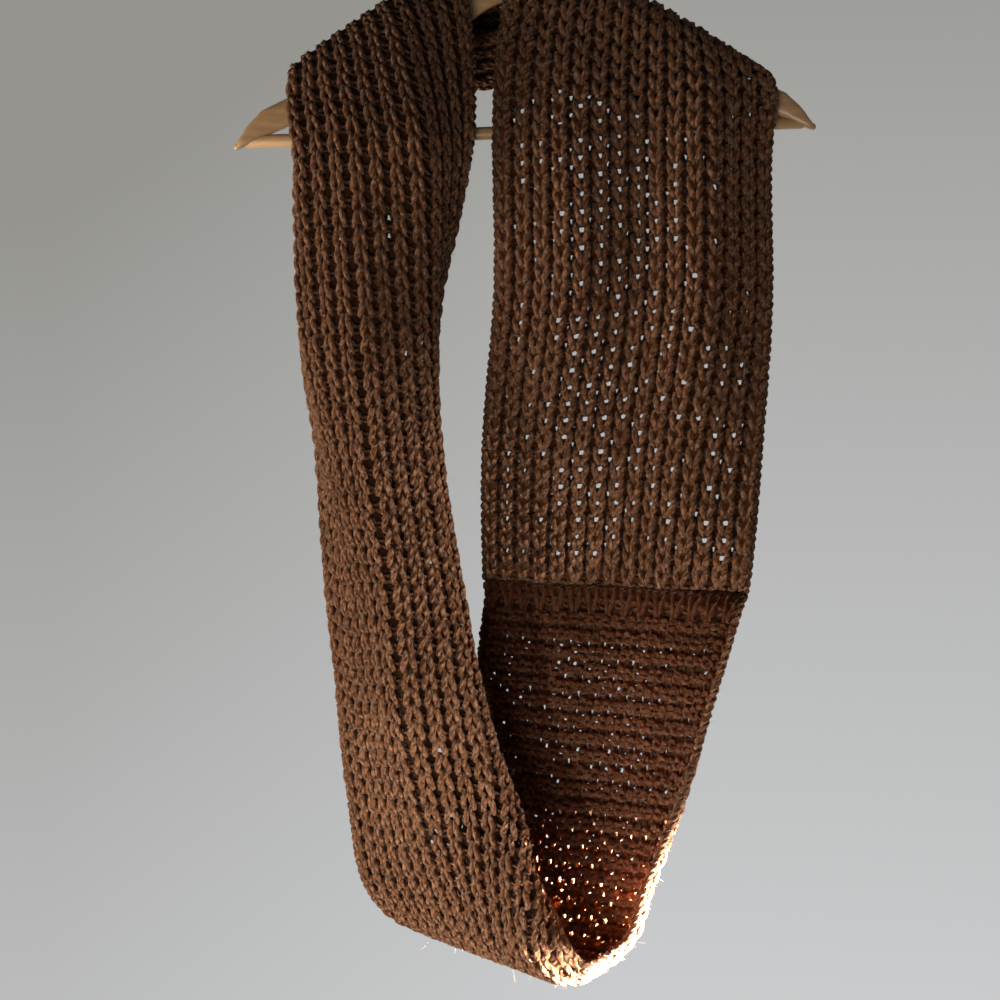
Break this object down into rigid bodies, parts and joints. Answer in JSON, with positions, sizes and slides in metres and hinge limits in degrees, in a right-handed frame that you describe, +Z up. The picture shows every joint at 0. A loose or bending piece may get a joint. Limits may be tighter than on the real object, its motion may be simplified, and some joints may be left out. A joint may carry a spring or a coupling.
{
  "type": "infinity scarf on a suit hanger",
  "caption": "Wide chunky rib-knitted loop scarf with a half twist, hung over a contoured wooden suit hanger with a trouser bar and a wire hook",
  "frame": {"origin": "the highest point of the inside of the hook, where a rail carries the hanger", "axes": "+Z up, +X to the viewer's right along the hanger, -Y towards the viewer"},
  "size_m": [0.4399, 0.181, 0.852],
  "materials": {
    "brown_yarn": "matt, hairy two-ply yarn in a chunky rib knit",
    "pale_beech": "satin varnish",
    "bright_steel": "polished"
  },
  "bodies": {
    "root": {"scarf_right_upper": "brown_yarn", "scarf_back_neck": "brown_yarn", "scarf_left_front": "brown_yarn", "scarf_bottom": "brown_yarn", "scarf_right_lower": "brown_yarn", "scarf_seam": "brown_yarn", "hanger_arms": "pale_beech", "trouser_bar": "pale_beech", "hook": "bright_steel"}
  },
  "joints": []
}
